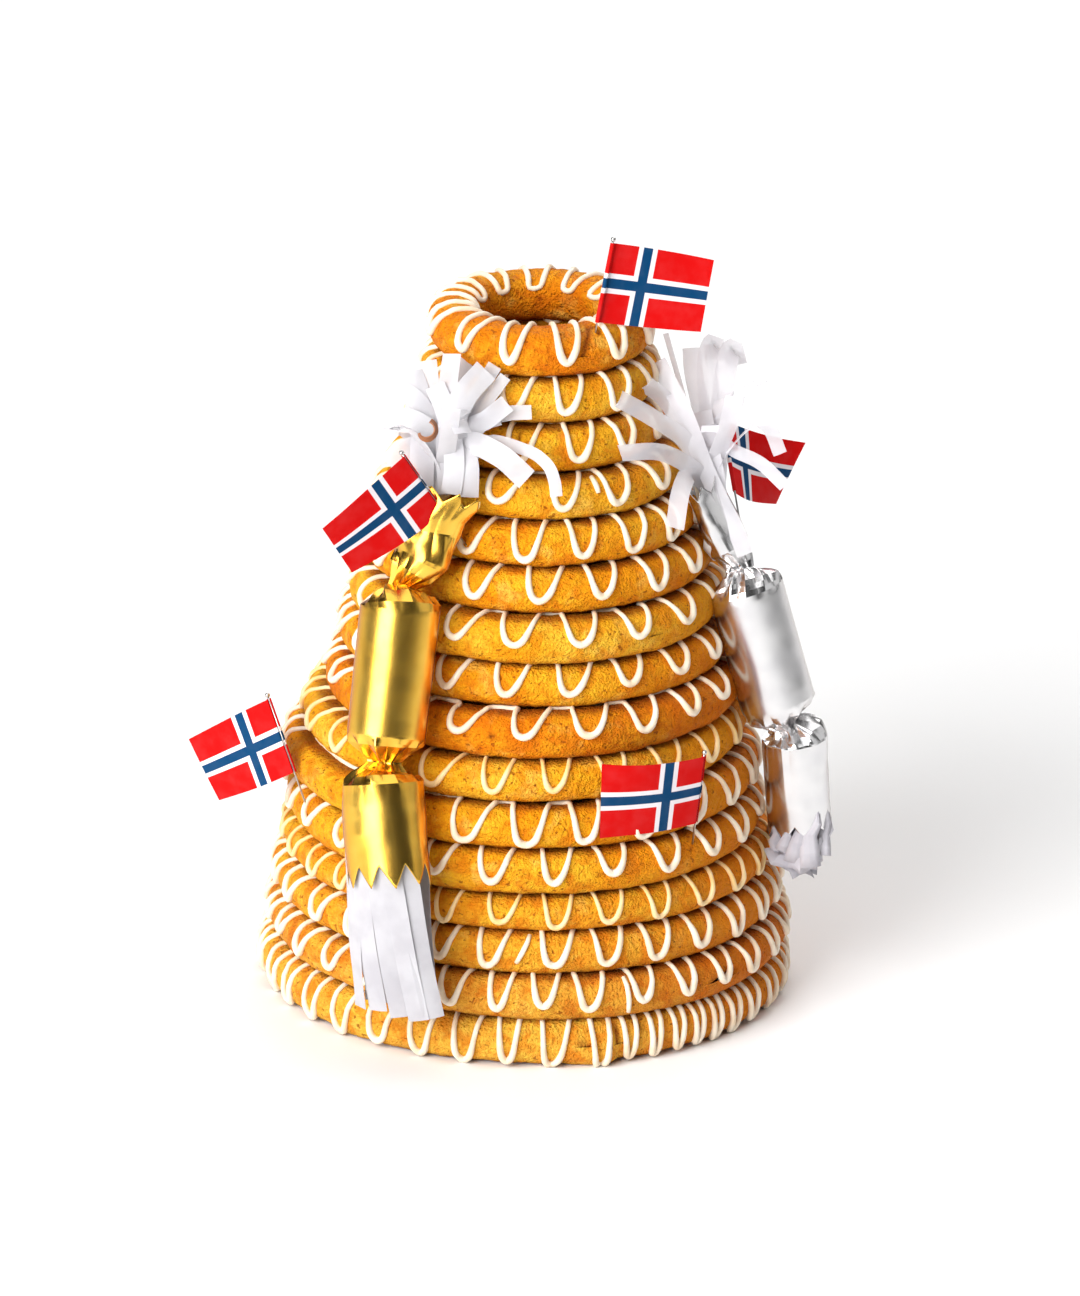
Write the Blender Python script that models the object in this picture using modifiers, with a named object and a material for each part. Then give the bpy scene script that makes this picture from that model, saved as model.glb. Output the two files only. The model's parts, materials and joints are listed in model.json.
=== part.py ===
"""A kransekake: a hollow festive tower of baked almond rings, dressed with paper flags and
two paper crackers. Units are metres, +Z is up, and lengths below are given in millimetres
times MM. The tower is modelled about its own axis, then the whole set is moved so that the
origin is the centre of the bounding box's underside."""

import math

import bmesh
import bpy
from mathutils import Matrix, Vector

MM = 0.001

# ---------------------------------------------------------------- driving dimensions

CONTACT_GAP = 0.3 * MM          # left between pieces that touch
DOUGH_HALF_WIDTH = 9.3 * MM     # half the width of a ring's rolled dough
SECTION_SIDES = 8               # sides of the dough's cross-section
SECTION_SPACING = 17.0 * MM     # distance between cross-sections along a ring
HALF_SIDE = math.pi / SECTION_SIDES   # turns the section so that it lies on a flat side

# Each ring from the base up, as rolled and stacked by hand:
# mean radius, shift to +X and to +Y, thickness (all mm), then how its top slopes up
# towards +X and +Y (mm in a metre).
RINGS = (
    (91.0, 0.0, 1.0, 17.0, -14, -9),
    (89.5, 1.0, -1.0, 16.5, -15, -10),
    (87.0, 0.0, 1.5, 16.5, -10, -7),
    (83.5, 0.0, 0.5, 15.0, -1, 5),
    (80.5, -1.0, -2.5, 17.0, -11, 4),
    (80.5, -3.0, 1.0, 16.5, -6, 7),
    (74.5, -2.0, 0.5, 16.5, 11, 14),
    (69.5, 1.5, -1.0, 17.5, 13, 10),
    (65.0, 1.5, 1.5, 16.5, 2, 5),
    (61.0, 1.0, -2.5, 17.5, 5, 2),
    (57.0, 1.5, 1.0, 16.5, 4, -3),
    (52.0, 0.5, 0.5, 16.5, 3, -2),
    (46.0, 0.0, -0.5, 16.5, 1, -1),
    (39.5, -1.5, -1.0, 17.5, 4, 2),
    (35.0, 0.0, 0.0, 17.0, 11, 5),
    (32.5, 0.0, 1.0, 18.5, 13, 6),
)

PAPER_THICKNESS = 0.4 * MM
PAPER_BELOW_HEAD = 1.5 * MM
PIN_RADIUS = 0.4 * MM
PIN_HEAD_RADIUS = 0.9 * MM
PIN_HEAD_SHOULDER = 0.36 * MM   # height at which the head is widest
PIN_HEAD_CROWN = 0.54 * MM      # radius at the top of the head
PIN_TAPER = 2.5 * MM            # length of the pin's point
PIN_SIDES = 8
FLAG_HOIST = 30.0 * MM
FLAG_FLY = 41.0 * MM            # a 16 by 22 flag, with the hem round the pin
FLY_STEPS = 5
SLEEVE_RADIUS = PIN_RADIUS + CONTACT_GAP + PAPER_THICKNESS / 2
SLEEVE_START = math.radians(35) # where the paper's edge lies beside the pin
SLEEVE_TURN = math.radians(305) # how far the paper goes round the pin
SLEEVE_STEPS = 8
HOLE_RADIUS = PIN_RADIUS + CONTACT_GAP

# Each flag: top of its hoist, point of its pin, direction of its fly, how far the fly's
# free edge curls (mm), and the pieces that its pin goes into.
FLAGS = {
    "top": ((26, -24, 300), (19, -33, 259), (38.2, 11.0, -7.8), 3.0, ("ring_16",)),
    "right": ((69, 14, 220), (78, -17, 182), (24.5, 27.5, -16.9), 4.0, ("silver_wrapper",)),
    "left": ((-49, -70, 231), (-24, -54, 189), (-30.8, -14.2, -22.1), 2.0,
             ("gold_wrapper", "ring_12")),
    "low_left": ((-98, -33.5, 120), (-81, -37.5, 73), (-29.4, 17.7, -21.5), 3.0,
                 ("ring_05",)),
    "low_right": ((65, -73, 117), (61, -62, 68), (-36.8, -16.8, 0.7), 1.0, ("ring_05",)),
}

CRACKER_SIDES = 14
FRINGE_LOBES = 5
LOBE_DEPTH = 0.22
ENVELOPE_CLEARANCE = 3.3 * MM   # covers the rings' shifts off the common axis
ENVELOPE_TOP = 300.0 * MM
ENVELOPE_SIDES = 48

# Stations along each cracker: centre x, y, z, then half its width across the tower's
# side and half its depth outwards (mm).
CRACKERS = {
    "gold_wrapper": (
        (-36, -49.5, 212, 18.0, 4.5), (-38, -51.5, 203, 16.0, 5.0),
        (-44, -56, 187, 9.5, 5.5), (-49, -61, 178, 4.5, 4.5), (-49.7, -63, 175, 5.0, 5.0),
        (-50.4, -67, 172.5, 12.5, 12.5), (-50.8, -68, 169, 14.7, 14.7),
        (-53, -80, 124, 14.7, 14.7), (-53.2, -81, 120.5, 12.5, 12.5),
        (-53.4, -82, 116, 5.0, 5.0), (-53.8, -83, 113, 5.0, 5.0),
        (-54.2, -84.5, 110, 13.0, 13.0), (-54.5, -86, 106, 14.7, 14.7),
        (-53.5, -98, 73, 15.2, 14.2),
    ),
    "gold_burst": (
        (-35.8, -49.3, 212.7, 10.0, 3.5), (-34.2, -47.7, 220, 11.0, 5.5),
        (-35.5, -49, 227, 18.0, 10.0), (-37, -50, 236, 25.0, 14.0),
        (-36, -46, 246, 23.0, 13.0), (-34, -42, 255, 15.0, 9.0),
    ),
    "gold_fringe": (
        (-53.5, -98.2, 72.3, 14.6, 13.4), (-53.2, -100.5, 65.8, 14.6, 12.0),
        (-51.5, -103.5, 48, 16.0, 9.5), (-49.5, -106, 25, 18.5, 7.0),
    ),
    "silver_wrapper": (
        (66, -9, 200, 11.0, 4.5), (71, -10, 186, 9.0, 5.0), (77.5, -12, 173, 6.5, 5.0),
        (81, -16, 166.5, 4.5, 4.5), (81.5, -17, 164, 5.0, 5.0),
        (83, -18.5, 161.5, 12.0, 12.0), (84, -18.5, 158, 13.7, 13.7),
        (95.5, -18.5, 119, 13.7, 13.7), (96.8, -18.5, 115.5, 12.0, 12.0),
        (98.5, -18, 111.5, 5.0, 5.0), (99.5, -18, 109, 5.0, 5.0),
        (101, -18, 105.5, 10.5, 10.5), (101.6, -18, 102, 11.5, 11.5),
        (105, -17, 73, 11.5, 11.5),
    ),
    "silver_burst": (
        (65.8, -9, 200.7, 8.0, 3.5), (62.8, -8.4, 209.3, 9.0, 6.0),
        (64, -13, 220, 15.0, 12.0), (64, -14, 231, 19.0, 16.0), (64, -12, 242, 18.0, 15.0),
        (64, -9, 253, 11.0, 9.0),
    ),
    "silver_fringe": (
        (105.1, -17, 72.3, 10.8, 10.8), (106, -16.7, 64.5, 12.0, 11.0),
        (106, -17, 50, 8.0, 7.0),
    ),
}

# Rings that baked browner or paler than the rest.
BROWN_RINGS = (2, 8, 16)
PALE_RINGS = (7, 10, 13, 15)

# Colour, roughness and metallic value of each material.
SHARP_EDGE = math.radians(40)
FINISHES = {
    "golden_crust": ((0.72, 0.38, 0.09), 0.75, 0.0),
    "brown_crust": ((0.68, 0.32, 0.07), 0.75, 0.0),
    "pale_crust": ((0.76, 0.45, 0.12), 0.75, 0.0),
    "flag": ((0.70, 0.02, 0.03), 0.6, 0.0),
    "pin": ((0.62, 0.60, 0.58), 0.3, 1.0),
    "gold": ((0.85, 0.58, 0.12), 0.25, 1.0),
    "silver": ((0.78, 0.78, 0.78), 0.22, 1.0),
    "tissue": ((0.90, 0.89, 0.91), 0.8, 0.0),
}

# ---------------------------------------------------------------- scene and materials


def empty_scene():
    for item in list(bpy.data.objects):
        bpy.data.objects.remove(item, do_unlink=True)


def new_collection(name):
    collection = bpy.data.collections.new(name)
    bpy.context.scene.collection.children.link(collection)
    return collection


def new_material(name, colour, roughness, metallic):
    material = bpy.data.materials.new(name)
    material.use_nodes = True
    shader = material.node_tree.nodes["Principled BSDF"]
    shader.inputs["Base Color"].default_value = (*colour, 1.0)
    shader.inputs["Roughness"].default_value = roughness
    shader.inputs["Metallic"].default_value = metallic
    return material


def add_object(name, mesh, finish):
    """Put a finished mesh in the cake's collection, smooth shaded, under the root empty."""
    item = bpy.data.objects.new(name, mesh)
    parts.objects.link(item)
    item.parent = root
    mesh.materials.clear()
    mesh.materials.append(new_material(name, *FINISHES[finish]))
    mesh.shade_smooth()
    mesh.set_sharp_from_angle(angle=SHARP_EDGE)
    return item


def mesh_from(bm, name):
    bmesh.ops.recalc_face_normals(bm, faces=bm.faces[:])
    mesh = bpy.data.meshes.new(name)
    bm.to_mesh(mesh)
    bm.free()
    return mesh


def cut(target, cutter):
    modifier = target.modifiers.new("cut_" + cutter.name, "BOOLEAN")
    modifier.operation = "DIFFERENCE"
    modifier.solver = "EXACT"
    modifier.object = cutter


def add_cutter(name, mesh):
    item = bpy.data.objects.new(name, mesh)
    cutters.objects.link(item)
    item.parent = root
    item.hide_render = True
    item.display_type = "WIRE"
    return item


# ---------------------------------------------------------------- the almond rings


def top_of(ring, x, y):
    """Height of the sloping plane on which the next ring lies."""
    height = sum(spec[3] for spec in RINGS[:ring]) * MM
    if ring == 0:
        return height
    slope_x, slope_y = RINGS[ring - 1][4:]
    return height + (slope_x * x + slope_y * y) * MM


def ring_mesh(number):
    """Bend a torus's round section to a flat-topped one that fills the space between
    the ring below and the ring above."""
    radius, shift_x, shift_y = (value * MM for value in RINGS[number - 1][:3])
    segments = round(math.tau * radius / SECTION_SPACING / 2) * 2 + 4
    bpy.ops.mesh.primitive_torus_add(
        major_segments=segments, minor_segments=SECTION_SIDES,
        major_radius=radius, minor_radius=DOUGH_HALF_WIDTH)
    torus = bpy.context.object
    mesh = torus.data
    flat = math.cos(HALF_SIDE)
    for vertex in mesh.vertices:
        around = math.atan2(vertex.co.y, vertex.co.x)
        out = math.hypot(vertex.co.x, vertex.co.y) - radius
        section = math.atan2(vertex.co.z, out) + HALF_SIDE
        reach = radius + DOUGH_HALF_WIDTH * math.cos(section) / flat
        x = shift_x + reach * math.cos(around)
        y = shift_y + reach * math.sin(around)
        low = top_of(number - 1, x, y)
        if number > 1:
            low += CONTACT_GAP
        high = top_of(number, x, y)
        lift = (math.sin(section) / flat + 1) / 2
        vertex.co = (x, y, low + (high - low) * lift)
    bpy.data.objects.remove(torus, do_unlink=True)
    mesh.name = f"ring_{number:02d}"
    return mesh


def add_rings():
    for number in range(1, len(RINGS) + 1):
        finish = "golden_crust"
        if number in BROWN_RINGS:
            finish = "brown_crust"
        elif number in PALE_RINGS:
            finish = "pale_crust"
        add_object(f"ring_{number:02d}", ring_mesh(number), finish)


# ---------------------------------------------------------------- pins and paper flags


def placed(origin, up, along):
    """Matrix with local +Z along up and local +X as near to along as it can be."""
    z_axis = Vector(up).normalized()
    y_axis = z_axis.cross(Vector(along)).normalized()
    x_axis = y_axis.cross(z_axis)
    return Matrix.Translation(origin) @ Matrix((x_axis, y_axis, z_axis)).transposed().to_4x4()


def glued_aslant(origin, up, fly):
    """Matrix with local +Z along up and local +X along fly, at whatever angle they meet,
    because the paper is often glued a little aslant on its pin."""
    z_axis, x_axis = Vector(up).normalized(), Vector(fly).normalized()
    y_axis = z_axis.cross(x_axis).normalized()
    return Matrix.Translation(origin) @ Matrix((x_axis, y_axis, z_axis)).transposed().to_4x4()


def pin_mesh(length):
    """A steel pin, point at the local origin, with a small round head."""
    bm = bmesh.new()
    shank = length - PIN_HEAD_RADIUS
    outline = (
        (0.0, 0.0), (PIN_RADIUS, PIN_TAPER), (PIN_RADIUS, shank),
        (PIN_HEAD_RADIUS, shank + PIN_HEAD_SHOULDER), (PIN_HEAD_CROWN, length), (0.0, length),
    )
    points = [bm.verts.new((r, 0.0, z)) for r, z in outline]
    edges = [bm.edges.new(pair) for pair in zip(points, points[1:])]
    bmesh.ops.spin(bm, geom=points + edges, cent=(0, 0, 0), axis=(0, 0, 1),
                   angle=math.tau, steps=PIN_SIDES, use_merge=True)
    bmesh.ops.remove_doubles(bm, verts=bm.verts[:], dist=1e-6)
    return mesh_from(bm, "pin")


def hole_mesh(length):
    bm = bmesh.new()
    bmesh.ops.create_cone(bm, cap_ends=True, segments=PIN_SIDES, radius1=HOLE_RADIUS,
                          radius2=HOLE_RADIUS, depth=length,
                          matrix=Matrix.Translation((0, 0, length / 2 - CONTACT_GAP)))
    return mesh_from(bm, "pin_hole")


def flag_mesh(curl):
    """A paper sheet whose hoist wraps round the pin. Its path, seen along the pin, is a
    sleeve round the local Z axis that runs on into a gently curved fly along local X."""
    path = []
    for step in range(SLEEVE_STEPS + 1):
        angle = SLEEVE_START - SLEEVE_TURN * step / SLEEVE_STEPS
        path.append((SLEEVE_RADIUS * math.cos(angle), SLEEVE_RADIUS * math.sin(angle)))
    for step in range(1, FLY_STEPS + 1):
        share = step / FLY_STEPS
        path.append((FLAG_FLY * share, SLEEVE_RADIUS + curl * MM * share * share))
    bm = bmesh.new()
    bottom = [bm.verts.new((x, y, 0.0)) for x, y in path]
    edges = [bm.edges.new(pair) for pair in zip(bottom, bottom[1:])]
    raised = bmesh.ops.extrude_edge_only(bm, edges=edges)["geom"]
    rise = [vertex for vertex in raised if isinstance(vertex, bmesh.types.BMVert)]
    bmesh.ops.translate(bm, verts=rise, vec=(0, 0, FLAG_HOIST))
    return mesh_from(bm, "flag_paper")


def add_flag(name, hoist_top, point, fly, curl, holders):
    hoist_top, point = Vector(hoist_top) * MM, Vector(point) * MM
    upward = (hoist_top - point).normalized()
    head = hoist_top + upward * PAPER_BELOW_HEAD
    length = (head - point).length + PIN_HEAD_RADIUS
    at_point = placed(point, upward, fly)

    pin = add_object(f"flag_pin_{name}", pin_mesh(length), "pin")
    pin.matrix_local = at_point

    paper = add_object(f"flag_{name}", flag_mesh(curl), "flag")
    paper.data.transform(glued_aslant(hoist_top - upward * FLAG_HOIST, upward, fly))
    sheet = paper.modifiers.new("paper", "SOLIDIFY")
    sheet.thickness = PAPER_THICKNESS
    sheet.offset = 0.0

    hole_length = length - FLAG_HOIST
    hole = add_cutter(f"pin_hole_{name}", hole_mesh(hole_length))
    hole.matrix_local = at_point
    for holder in holders:
        cut(parts.objects[holder], hole)


# ---------------------------------------------------------------- the crackers


def lobe(name, angle):
    """Tissue fans out in lobes, and foil is round."""
    if name.endswith("wrapper"):
        return 1.0
    return 1.0 - LOBE_DEPTH * (0.5 + 0.5 * math.cos(FRINGE_LOBES * angle))


def loft(name, stations):
    """Skin oval sections set across the path, with a flat cap at each end."""
    centres = [Vector(station[:3]) * MM for station in stations]
    bm = bmesh.new()
    loops = []
    for index, (centre, station) in enumerate(zip(centres, stations)):
        before = centres[max(index - 1, 0)]
        after = centres[min(index + 1, len(centres) - 1)]
        tangent = (after - before).normalized()
        outward = Vector((centre.x, centre.y, 0.0))
        across = tangent.cross(outward).normalized()
        outward = across.cross(tangent).normalized()
        width, depth = (value * MM for value in station[3:])
        loop = []
        for side in range(CRACKER_SIDES):
            angle = math.tau * side / CRACKER_SIDES
            reach = lobe(name, angle)
            offset = (across * width * math.cos(angle) + outward * depth * math.sin(angle))
            loop.append(bm.verts.new(centre + offset * reach))
        loops.append(loop)
    for lower, upper in zip(loops, loops[1:]):
        for side in range(CRACKER_SIDES):
            other = (side + 1) % CRACKER_SIDES
            bm.faces.new((lower[side], lower[other], upper[other], upper[side]))
    bm.faces.new(loops[0][::-1])
    bm.faces.new(loops[-1])
    return mesh_from(bm, name)


def envelope_mesh():
    """A turned body just larger than the tower, which keeps the dressing clear of it."""
    middles = [top_of(number, 0, 0) - RINGS[number - 1][3] * MM / 2
               for number in range(1, len(RINGS) + 1)]
    reaches = [spec[0] * MM + DOUGH_HALF_WIDTH + ENVELOPE_CLEARANCE for spec in RINGS]
    outline = [(0.0, 0.0), (reaches[0], 0.0), *zip(reaches, middles)]
    outline += [(reaches[-1], ENVELOPE_TOP), (0.0, ENVELOPE_TOP)]
    bm = bmesh.new()
    points = [bm.verts.new((r, 0.0, z)) for r, z in outline]
    edges = [bm.edges.new(pair) for pair in zip(points, points[1:])]
    bmesh.ops.spin(bm, geom=points + edges, cent=(0, 0, 0), axis=(0, 0, 1),
                   angle=math.tau, steps=ENVELOPE_SIDES, use_merge=True)
    bmesh.ops.remove_doubles(bm, verts=bm.verts[:], dist=1e-6)
    return mesh_from(bm, "tower_envelope")


def add_crackers():
    envelope = add_cutter("tower_envelope", envelope_mesh())
    for name, stations in CRACKERS.items():
        metal = name.split("_")[0] if name.endswith("wrapper") else "tissue"
        item = add_object(name, loft(name, stations), metal)
        if name.endswith("burst"):
            cut(item, envelope)


# ---------------------------------------------------------------- assembly


def centre_on_base():
    """Move the root so that the origin is the middle of the bounding box's underside."""
    bpy.context.view_layer.update()
    graph = bpy.context.evaluated_depsgraph_get()
    corners = []
    for item in parts.objects:
        if item.type != "MESH":
            continue
        shape = item.evaluated_get(graph)
        corners += [shape.matrix_world @ vertex.co for vertex in shape.data.vertices]
    for axis in (0, 1):
        values = [corner[axis] for corner in corners]
        root.location[axis] = -(min(values) + max(values)) / 2
    bpy.context.view_layer.update()


empty_scene()
parts = new_collection("kransekake")
cutters = new_collection("cutters")
root = bpy.data.objects.new("kransekake_root", None)
parts.objects.link(root)
add_rings()
add_crackers()
for flag_name, flag in FLAGS.items():
    add_flag(flag_name, *flag)
centre_on_base()
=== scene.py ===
# %% [markdown]
# # Kransekake
# A kransekake is a tower of baked almond rings that get smaller towards the top. It is
# held together and decorated with loops of white icing, and dressed for a feast with paper
# flags on pins and crackers of foil and tissue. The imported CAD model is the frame: it
# says where each piece sits and how big it is, and here each piece gets its real surface.

# %% Load the frame
import json
import math
import random

import bmesh
import bpy
import numpy as np
from mathutils import Matrix, Vector, noise


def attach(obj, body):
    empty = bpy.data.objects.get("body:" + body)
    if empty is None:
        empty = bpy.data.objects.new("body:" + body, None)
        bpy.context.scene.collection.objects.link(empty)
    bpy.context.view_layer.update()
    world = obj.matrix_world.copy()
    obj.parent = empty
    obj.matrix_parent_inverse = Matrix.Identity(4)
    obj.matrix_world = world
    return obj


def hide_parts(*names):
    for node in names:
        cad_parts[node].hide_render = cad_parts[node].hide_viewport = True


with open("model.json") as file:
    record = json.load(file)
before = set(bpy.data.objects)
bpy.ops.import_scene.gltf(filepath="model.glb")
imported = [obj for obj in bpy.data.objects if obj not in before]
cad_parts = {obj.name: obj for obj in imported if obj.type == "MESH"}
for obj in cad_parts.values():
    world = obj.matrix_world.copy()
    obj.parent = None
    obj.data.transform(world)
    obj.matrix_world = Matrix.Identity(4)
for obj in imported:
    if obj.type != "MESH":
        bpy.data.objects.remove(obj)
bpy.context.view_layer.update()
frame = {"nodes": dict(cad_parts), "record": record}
MM = 0.001

# %% [markdown]
# ## Camera
# A long lens from far away shows the cake almost without perspective, so the rings near the
# top and the base look equally open. The camera looks down a little, so that the hole in
# the top ring shows. The tiny roll is the tilt of the camera on its stand.

# %% Camera
DISTANCE, DOWN, ROLL = 4.0, math.radians(20.6), math.radians(1.5)
FIELD = 488.6 * MM              # height of the view at the cake
AIM = Vector((9.46, 5.0, 131.2)) * MM


def add_object(name, data):
    thing = bpy.data.objects.new(name, data)
    bpy.context.scene.collection.objects.link(thing)
    return thing


def add_camera():
    ahead = Vector((0, math.cos(DOWN), -math.sin(DOWN)))
    level_up, right = Vector((0, math.sin(DOWN), math.cos(DOWN))), Vector((1, 0, 0))
    up = level_up * math.cos(ROLL) - right * math.sin(ROLL)
    side = right * math.cos(ROLL) + level_up * math.sin(ROLL)
    lens = bpy.data.cameras.new("camera")
    lens.sensor_width = 36.0
    lens.lens = lens.sensor_width * DISTANCE / FIELD
    lens.clip_end = 50.0
    camera = add_object("camera", lens)
    turn = Matrix((side, up, -ahead)).transposed().to_4x4()
    camera.matrix_world = Matrix.Translation(AIM - ahead * DISTANCE) @ turn
    bpy.context.scene.camera = camera


add_camera()
print("the camera looks down", round(math.degrees(DOWN), 1), "degrees")

# %% [markdown]
# ## Floor and light
# The cake stands on a plain white table. One tall soft light at the front left gives the
# rings their bright left side and browner right side, and draws one long highlight down
# each foil tube. Weaker ones hang overhead and over the table behind, and a faint card at
# the right shows in the silver foil. The surroundings are darkest in front and pale behind.

# %% Shader nodes
def new_material(name):
    """A material with its Principled shader, ready for nodes."""
    material = bpy.data.materials.new(name)
    material.use_nodes = True
    return material, material.node_tree, material.node_tree.nodes["Principled BSDF"]


def set_sockets(tree, made, values):
    """Give a node's inputs their values: the output of a node, a colour or a number."""
    for name, value in values.items():
        socket = made.inputs[name]
        if isinstance(value, bpy.types.NodeSocket):
            tree.links.new(value, socket)
        else:
            socket.default_value = (*value, 1) if isinstance(value, tuple) else value


def node(tree, kind, inputs=None, **settings):
    """A shader node with its inputs and its plain settings."""
    made = tree.nodes.new(kind)
    for name, value in settings.items():
        setattr(made, name, value)
    set_sockets(tree, made, inputs or {})
    return made


print("materials so far:", len(bpy.data.materials))

# %% Floor and light
def add_light(name, size, power, place, aim=(0, 0, 0.14)):
    lamp = bpy.data.lights.new(name, "AREA")
    lamp.shape, lamp.size, lamp.size_y = "RECTANGLE", *size
    lamp.energy = power
    light = add_object(name, lamp)
    light.location = place
    ahead = Vector(aim) - light.location
    light.rotation_euler = ahead.to_track_quat("-Z", "Y").to_euler()


def add_floor():
    bm = bmesh.new()
    bmesh.ops.create_grid(bm, x_segments=8, y_segments=8, size=4.0)
    mesh = bpy.data.meshes.new("floor")
    bm.to_mesh(mesh)
    bm.free()
    material, tree, shader = new_material("pale_table")
    set_sockets(tree, shader, {"Base Color": (0.93, 0.93, 0.93), "Roughness": 0.9})
    mesh.materials.append(material)
    add_object("floor", mesh)


def add_surroundings():
    """A studio that is dark around the camera, so that foil gets dark bands."""
    world = bpy.data.worlds.new("studio")
    world.use_nodes = True
    tree = world.node_tree
    way = node(tree, "ShaderNodeTexCoord").outputs["Generated"]
    dot = node(tree, "ShaderNodeVectorMath", {0: way}, operation="DOT_PRODUCT")
    dot.inputs[1].default_value = PALE_WAY
    rise = node(tree, "ShaderNodeMapRange", {"Value": dot.outputs["Value"], **SKY})
    set_sockets(tree, tree.nodes["Background"], {"Strength": rise.outputs["Result"]})
    bpy.context.scene.world = world


PALE_WAY = (0.0, 0.6, 0.8)      # up and behind the cake
SKY = {"From Min": -0.10, "From Max": 0.70, "To Min": 0.18, "To Max": 0.74}
add_floor()
add_surroundings()
add_light("key", (1.6, 1.9), 82, (-1.26, -1.54, 1.02))
add_light("overhead", (1.8, 1.8), 15, (0.1, -0.15, 1.9))
add_light("backdrop", (2.4, 1.4), 46, (0.6, 2.2, 1.7), aim=(0.4, 1.0, 0))
add_light("side_card", (1.5, 0.9), 3, (1.3, -0.1, 0.68), aim=(0, 0, 0.15))
bpy.context.scene.view_settings.view_transform = "Standard"
print("lights:", *[light.name for light in bpy.data.lights])

# %% [markdown]
# ## Reading the rings
# Every ring lies between two sloping planes, because rings rolled by hand are never quite
# even. The CAD ring is a faceted ring between the same planes. Its widest points give the
# radius and the width of the dough, and its flat top and underside give the planes.

# %% Read the rings
RINGS = range(1, 17)
FLAT_PART = 0.5                 # the share of the half width where top and underside are flat
STRAY = 0.4 * MM                # points further than this from the plane don't count


def node_points(name):
    """The places of a CAD node's corners, each once."""
    points = np.array([vertex.co for vertex in frame["nodes"][name].data.vertices])
    return np.unique(points.round(6), axis=0)


def fit_plane(points):
    """Height as a sloping plane: constant, slope in X, slope in Y."""
    for _ in range(2):
        table = np.column_stack((np.ones(len(points)), points[:, :2]))
        plane = np.linalg.lstsq(table, points[:, 2], rcond=None)[0]
        points = points[abs(table @ plane - points[:, 2]) < STRAY]
    return plane


def read_ring(number):
    points = node_points(f"ring_{number:02d}")
    centre = (points.min(axis=0) + points.max(axis=0))[:2] / 2
    reach = np.hypot(*(points[:, :2] - centre).T)
    radius, half = (reach.max() + reach.min()) / 2, (reach.max() - reach.min()) / 2
    flats = points[abs(reach - radius) < FLAT_PART * half]
    level = flats[:, 2].mean()
    return {"number": number, "centre": centre, "radius": radius, "half": half,
            "low": fit_plane(flats[flats[:, 2] < level]),
            "high": fit_plane(flats[flats[:, 2] > level])}


rings = {number: read_ring(number) for number in RINGS}
for number, ring in rings.items():
    print(f"ring {number:2d}: radius {ring['radius'] / MM:5.1f} mm,"
          f" dough {2 * ring['half'] / MM:4.1f} mm wide")

# %% [markdown]
# ## The surface of a ring
# A rolled sausage of dough closes into a ring, and sags where it lies on the ring below.
# Its cross-section is rounder than a box and squarer than a circle, which is what a
# superellipse is. A place on the crust is given by two angles: around the tower, from the
# front to the right, and over the dough, from the widest point outside up to the top.
# The icing is piped on the same surface, so both use one function.

# %% Places on the crust
SQUARENESS = 2.3
SAG = 0.15 * MM                 # how far rings sink into each other
# How much the dough swells and dents (mm), and how large those unevennesses are (mm).
UNEVEN = ((0.60, 27.0), (0.42, 9.0), (0.34, 3.7), (0.20, 2.0))
# Where the ends of a roll were pressed together: degrees round the ring, and swelling (mm).
JOINS = {1: ((9, 14, 20, 21.8), (0, 2.4, 2.2, 0))}


def hand_rolled(places):
    """How far the crust swells or dents at each place: lumps, finger marks and grain."""
    return np.array([sum(size * MM * noise.noise(Vector(place) / (scale * MM))
                         for size, scale in UNEVEN) for place in places])


def signed_power(value, power):
    return np.sign(value) * abs(value) ** power


def plane_height(plane, places):
    return plane[0] + places @ plane[1:]


def crust_places(ring, around, over, lift=0.0):
    """Points on a ring's crust at the two angles, and lift above it."""
    out, rise = (signed_power(f(over), 2 / SQUARENESS) for f in (np.cos, np.sin))
    ways = np.stack((np.sin(around), -np.cos(around)), axis=1)
    flat = ring["centre"] + (ring["radius"] + ring["half"] * out)[:, None] * ways
    low = plane_height(ring["low"], flat) - SAG
    tall = (plane_height(ring["high"], flat) + SAG - low) / 2
    places = np.column_stack((flat, low + tall * (1 + rise)))
    lean = np.stack((signed_power(out, SQUARENESS - 1) / ring["half"],
                     signed_power(rise, SQUARENESS - 1) / tall))
    lean /= np.hypot(*lean)
    away = np.column_stack((ways * lean[0][:, None], lean[1]))
    turned = (np.degrees(around) + 180) % 360 - 180
    swelling = np.interp(turned, *JOINS.get(ring["number"], ((0, 1), (0, 0)))) * MM
    swelling *= np.clip(out, 0, 1) * np.clip(0.6 - rise, 0, 1)
    places += away * (lift + hand_rolled(places) + swelling)[:, None]
    places[:, 2] = np.maximum(places[:, 2], 0)      # the lowest ring lies flat on the table
    return places


# %% [markdown]
# ## Baked crust
# Ground almonds, sugar and egg white bake to a grainy golden crust with brown mottle and
# brown specks of almond skin. Noises of several sizes stain the golds one after another,
# and one with a hard threshold makes the specks. One stain uses the bump's own noise and
# darkens its hollows: painted shade. The right side of the cake gets painted shade too.
# An attribute kept with each point of the ring darkens the creases between rings, partly
# browning and partly painted shade, paints shade on the inner side of the rings and
# darkens the cracks. The finest grain is only bump, since it is finer than the mesh.

# %% Noises, steps and mixes
def noise_node(tree, size, detail=2.0):
    """Noise on the object's own coordinates, with lumps about that size in mm."""
    place = node(tree, "ShaderNodeTexCoord").outputs["Object"]
    return node(tree, "ShaderNodeTexNoise", {"Vector": place, "Scale": 1 / (size * MM),
                                             "Detail": detail}).outputs["Fac"]


def step_node(tree, value, start, end):
    """A smooth step of a value from 0 at start to 1 at end."""
    return node(tree, "ShaderNodeMapRange", {"Value": value, "From Min": start, "From Max": end},
                interpolation_type="SMOOTHSTEP").outputs["Result"]


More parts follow.
